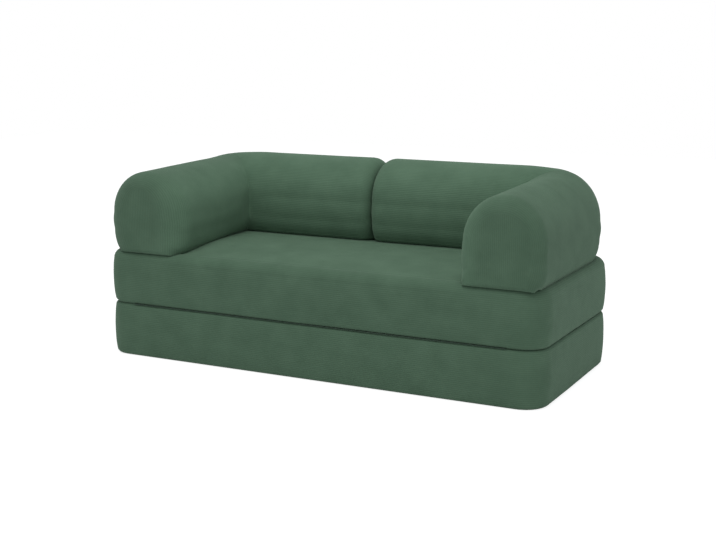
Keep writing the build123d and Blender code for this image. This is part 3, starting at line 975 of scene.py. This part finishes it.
def woven_tape(name, colour, pitch):
    """Woven polyester tape: warp and weft as two crossed bands that shade and raise each other."""
    cloth, tree, shader = new_material(name, {"Roughness": 0.8})
    bands = []
    for direction in ("X", "Z"):
        inputs = {"Vector": object_place(tree), "Scale": 1 / pitch / wave_scale, "Distortion": 0.4}
        band = node(tree, "ShaderNodeTexWave", inputs, bands_direction=direction)
        bands.append(band.outputs["Fac"])
    weave = node(tree, "ShaderNodeMath", dict(enumerate(bands)), operation="MAXIMUM").outputs[0]
    shade = tinted(tree, weave, [0.55 * value for value in colour], colour)
    tree.links.new(shade, shader.inputs["Base Color"])
    raise_surface(tree, shader, weave, 0.5, pitch / 4)
    return cloth


def nylon(name, colour, roughness):
    """Moulded or drawn nylon: an even colour with a faint cloudiness and a soft shine."""
    plastic, tree, shader = new_material(name, {"Roughness": roughness})
    cloud = node(tree, "ShaderNodeTexNoise", {"Vector": object_place(tree), "Scale": 260.0})
    dark, light = ([share * value for value in colour] for share in (0.8, 1.1))
    tree.links.new(tinted(tree, cloud.outputs["Fac"], dark, light), shader.inputs["Base Color"])
    return plastic


tape_cloth = woven_tape("zip_tape_weave", (0.042, 0.082, 0.052), 0.0011)
coil_nylon = nylon("zip_coil_nylon", (0.050, 0.092, 0.060), 0.38)
sewing_thread = nylon("sewing_thread", (0.075, 0.130, 0.088), 0.6)
rod_places, rod_shares = (-0.5, -0.38, 0.38, 0.5), (0.55, 1.0, 1.0, 0.55)
tooth_line = [(0, place * tooth_length) for place in rod_places]
stitch_line = [(place * stitch_length, 0) for place in rod_places]
tooth = wire("tooth", tooth_line, rod_shares, tooth_thickness, 8)
stitch = wire("stitch", stitch_line, rod_shares, thread_thickness, 6)


def cushion_rear(z):
    """Where the rear of a corner cushion lies at a height near its foot."""
    reach, tall, sink = outer_toe
    side_low = foot_height - foot_settle + tall
    if z < side_low:
        return rear_y - reach * (1 - sqrt(1 - ((side_low - z) / tall) ** 2))
    return rear_y + side_swell * sin(pi * (z - side_low) / (arm_shoulder - side_low))


def zip_along(name, centre_x, zip_z, half, rear):
    """Tape, coil, stops and the two rows of stitches beside them, on a rear given by height."""
    deep, shallow = tape_depths
    heights = np.linspace(zip_z - tape_half_width, zip_z + tape_half_width, 7)
    section = [(rear(z) - deep, z) for z in heights] + [(rear(z) - shallow, z) for z in reversed(heights)]
    ends = (centre_x - half, centre_x + half)
    tape = closed_tube(name, [[(x, y, z) for y, z in section] for x in ends], tape_cloth)
    level = rear(zip_z) - shallow
    coil_ends = (ends[0] + stop_length, ends[1] - stop_length)
    places = []
    for count in range(int((coil_ends[1] - coil_ends[0]) / tooth_pitch)):
        x = coil_ends[0] + (count + 0.25) * tooth_pitch
        places.append((x, level + tooth_depth / 2, zip_z - tooth_offset))
        places.append((x + tooth_pitch / 2, level + tooth_depth / 2, zip_z + tooth_offset))
    pieces = [tape, set_parts(name + "_coil", places, tooth, coil_nylon, 3, (0.96, 1.04))]
    for start in (ends[0], coil_ends[1]):
        rings = []
        for along, share in ((0.0, 0.8), (0.15, 1.0), (0.85, 1.0), (1.0, 0.8)):
            wide, high = stop_half_width * share, stop_depth * share
            x = start + along * stop_length
            rings.append([
                (x, level - stop_sink, zip_z - wide), (x, level + high, zip_z - wide * 0.8),
                (x, level + high, zip_z + wide * 0.8), (x, level - stop_sink, zip_z + wide),
            ])
        pieces.append(closed_tube(name + "_stop", rings, coil_nylon))
    places = []
    for z in (zip_z - zip_seam_offset, zip_z + zip_seam_offset):
        for count in range(int(2 * half / stitch_pitch)):
            places.append((ends[0] + (count + 0.5) * stitch_pitch, rear(z) - thread_sink, z))
    pieces.append(set_parts(name + "_stitches", places, stitch, sewing_thread, 4, (0.9, 1.1), (0, 0, 0.05)))
    return joined(name, pieces)


def mattress_rear(z):
    return sofa_depth / 2


zips = [
    ("base", 0.0, base_zip_z, mattress_zip_half, mattress_rear),
    ("seat", 0.0, seat_zip_z, mattress_zip_half, mattress_rear),
    ("right_cushion", cushion_zip_x, cushion_zip_z, cushion_zip_half, cushion_rear),
    ("left_cushion", -cushion_zip_x, cushion_zip_z, cushion_zip_half, cushion_rear),
]
for owner, centre_x, zip_z, half, rear in zips:
    closure = zip_along(owner + "_coil_zip", centre_x, zip_z, half, rear)
    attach(closure, owner)
    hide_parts(owner + "_zip")

# Zip sliders and pulls: die-cast zinc, tumbled and plated in dark nickel, with the plating worn
# a little lighter in places.
zip_plating, plating_tree, plating = new_material("dark_nickel", {"Metallic": 1.0})
wear_inputs = {"Vector": object_place(plating_tree), "Scale": 380.0, "Detail": 4.0}
wear = node(plating_tree, "ShaderNodeTexNoise", wear_inputs).outputs["Fac"]
for target, least, most in (("Base Color", 0.22, 0.40), ("Roughness", 0.28, 0.46)):
    worn = mapped(plating_tree, wear, least, most, 0.3, 0.7)
    plating_tree.links.new(worn, plating.inputs[target])


def give_finish(node_name, finish):
    for finish_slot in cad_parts[node_name].material_slots:
        finish_slot.material = finish


for owner in ("base", "seat", "right_cushion", "left_cushion"):
    give_finish(owner + "_zip_slider", zip_plating)
    give_finish(owner + "_zip_pull", zip_plating)

# Cloth hinge: one band of dark twill, sewn to both covers in the groove along the front. It is built folded
# in two, as it lies when the bed is closed; opened, the real one bridges the gap between the mattresses.
hinge_low, hinge_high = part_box("seat_hinge_strip")
hinge_cloth_thickness = 0.0007
hinge_fold_y = hinge_low.y + 0.0010
hinge_sewn_y = hinge_high.y + 0.0035
hinge_level = base_top + (seat_bottom - base_top) / 2
hinge_centre = 0.00065
upper_fold_angles = (90, 70, 56, 45, 35, 25, 14, 10, 7, 3.5)
hinge_fold_angles = upper_fold_angles + (0,) + tuple(-angle for angle in reversed(upper_fold_angles))


def hinge_side(radius):
    """One face of the folded band, from the seat's cover round the fold to the base's cover."""
    flat = [hinge_sewn_y + (hinge_fold_y - hinge_sewn_y) * share for share in (0.0, 0.25, 0.5, 0.75)]
    line = [(y, hinge_level + radius) for y in flat]
    for angle in hinge_fold_angles:
        turn = radians(angle)
        line.append((hinge_fold_y - radius * cos(turn), hinge_level + radius * sin(turn)))
    return line + [(y, hinge_level - radius) for y in reversed(flat)]


hinge_section = hinge_side(hinge_centre + hinge_cloth_thickness / 2)
hinge_section += list(reversed(hinge_side(hinge_centre - hinge_cloth_thickness / 2)))
hinge_stations = np.linspace(hinge_low.x, hinge_high.x, 35)
hinge_weave = woven_tape("hinge_twill", (0.040, 0.076, 0.050), 0.0014)
hinge_rings = [[(x, y, z) for y, z in hinge_section] for x in hinge_stations]
hinge_band = closed_tube("cloth_hinge", hinge_rings, hinge_weave)
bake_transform(hinge_band)
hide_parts("seat_hinge_strip", "base_hinge_strip")

# Hook and loop strips: woven nylon strips, sewn down round their edges. The soft loops are on
# the seat and the stiff hooks under the cushions, so that the cushions don't slip off.
strip_width = 0.04
arm_strip = (0.819, -0.104, strip_width, 0.38)
back_strip = (0.444, 0.269, 0.48, strip_width)
loop_levels = (-0.0012, 0.0008)
hook_levels = (0.0040, 0.0024)
loop_pitch, hook_pitch = 0.0036, 0.0028
strip_margin = 0.004
filament_thickness = 0.0003


def strip_slab(name, centre_x, centre_y, width, depth, levels, finish):
    """A thin strip that follows the crowned seat, between two heights over it."""
    shares = (-0.5, -0.17, 0.17, 0.5)
    section = [(across, levels[0]) for across in shares]
    section += [(across, levels[1]) for across in reversed(shares)]
    rings = []
    for share in np.linspace(-0.5, 0.5, 25):
        ring = []
        for across, level in section:
            if width > depth:
                x, y = centre_x + share * width, centre_y + across * depth
            else:
                x, y = centre_x + across * width, centre_y + share * depth
            ring.append((x, y, seat_surface(x, y) + level))
        rings.append(ring)
    return closed_tube(name, rings, finish)


def strip_places(centre_x, centre_y, width, depth, level, pitch):
    """Points in staggered rows over a strip, inside its sewn margin."""
    places = []
    columns, rows = int((width - 2 * strip_margin) / pitch), int((depth - 2 * strip_margin) / pitch)
    for row in range(rows + 1):
        for column in range(columns + 1):
            shift = 0.25 if row % 2 else -0.25
            x = centre_x + (column - columns / 2 + shift) * pitch
            y = centre_y + (row - rows / 2) * pitch
            places.append((x, y, seat_surface(x, y) + level))
    return places


def strips(name, sides, levels, pitch, pile, seed, size, turn):
    """The woven strips of these sides with their loops or hooks, as one piece."""
    pieces, places = [], []
    for side in sides:
        for x, y, width, depth in (arm_strip, back_strip):
            pieces.append(strip_slab(name, side * x, y, width, depth, levels, strip_weave))
            places += strip_places(side * x, y, width, depth, levels[1], pitch)
    pieces.append(set_parts(name + "_pile", places, pile, filament, seed, size, turn))
    return joined(name, pieces)


loop_line = [(0.0008 * cos(turn), 0.0009 * sin(turn) - 0.0001) for turn in np.linspace(0, pi, 5)]
hook_line = [(0.0, 0.0002), (0.0, -0.0003), (0.0002, -0.00055), (0.0006, -0.0006), (0.0008, -0.0004)]
loop_wire, hook_wire = (
    wire("filament", line, (1.0,) * len(line), filament_thickness, 3) for line in (loop_line, hook_line))
strip_weave = woven_tape("strip_weave", (0.060, 0.108, 0.070), 0.0010)
filament = nylon("strip_filament", (0.095, 0.150, 0.108), 0.5)
loop_strips = strips("loop_strips", (-1, 1), loop_levels, loop_pitch, loop_wire, seed=7,
                     size=(0.75, 1.0), turn=(0.2, 0.2, 3.1))
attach(loop_strips, "seat")
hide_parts("seat_loop_strips")
for side, name in ((-1, "right"), (1, "left")):
    hook_strips = strips(name + "_hook_strip_pair", (side,), hook_levels, hook_pitch, hook_wire, seed=8,
                         size=(0.9, 1.0), turn=(0.05, 0.05, 0.15))
    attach(hook_strips, name + "_cushion")
    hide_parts(name + "_hook_strips")
for part in (tooth, stitch, loop_wire, hook_wire):
    bpy.data.objects.remove(part)

# Foam layers inside the mattresses: blocks cut from slabs of open-cell foam, firm in the core
# and softer where they are sat or slept on, glued to each other and wrapped by the covers.


def open_cell_foam(name, colour, cell_size):
    """Open-cell foam: rounded cells with paler walls and small pits between them."""
    foam, tree, shader = new_material(name, {"Roughness": 0.95})
    cells = node(tree, "ShaderNodeTexVoronoi", {"Vector": object_place(tree), "Scale": 1 / cell_size})
    depth = cells.outputs["Distance"]
    shade = tinted(tree, depth, colour, [0.7 * value for value in colour])
    tree.links.new(shade, shader.inputs["Base Color"])
    raise_surface(tree, shader, depth, 0.6, cell_size / 2)
    return foam


core_foam = open_cell_foam("firm_foam", (0.62, 0.60, 0.46), 0.0016)
comfort_foam = open_cell_foam("soft_foam", (0.70, 0.69, 0.60), 0.0022)
for layer, foam in (("base_foam_core", core_foam), ("base_sleeping_foam", comfort_foam),
                    ("seat_foam_core", core_foam), ("seat_sleeping_foam", comfort_foam),
                    ("seat_sitting_foam", comfort_foam)):
    give_finish(layer, foam)
